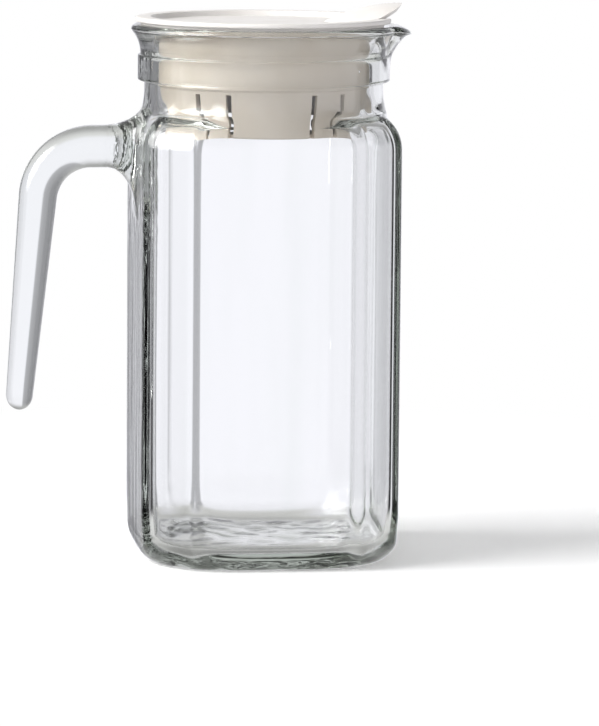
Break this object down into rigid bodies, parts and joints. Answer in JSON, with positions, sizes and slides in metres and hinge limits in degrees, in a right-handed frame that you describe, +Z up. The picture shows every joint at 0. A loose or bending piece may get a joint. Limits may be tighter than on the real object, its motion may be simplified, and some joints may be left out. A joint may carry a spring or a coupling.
{
  "type": "glass jug with lid",
  "caption": "Square glass jug with clipped corners, a round neck, a small spout, an open-ended glass handle and a lift-off plastic strainer lid.",
  "frame": {"origin": "on the jug's upright axis, in the plane of the ring that it stands on", "axes": "+Z up along the axis of the neck, +X towards the spout, the handle at -X"},
  "size_m": [0.1114, 0.073, 0.1524],
  "materials": {
    "glass_body": "clear pressed glass",
    "glass_handle": "clear solid glass",
    "lid_plastic": "smooth off-white plastic"
  },
  "bodies": {
    "jug": {"jug_body": "glass_body", "handle": "glass_handle"},
    "lid": {"lid_cover": "lid_plastic", "lid_plug": "lid_plastic"}
  },
  "joints": [
    {"name": "lid_lift", "type": "slide", "parent": "jug", "child": "lid", "axis": [0, 0, 1], "range_m": [0, 0.05]}
  ]
}
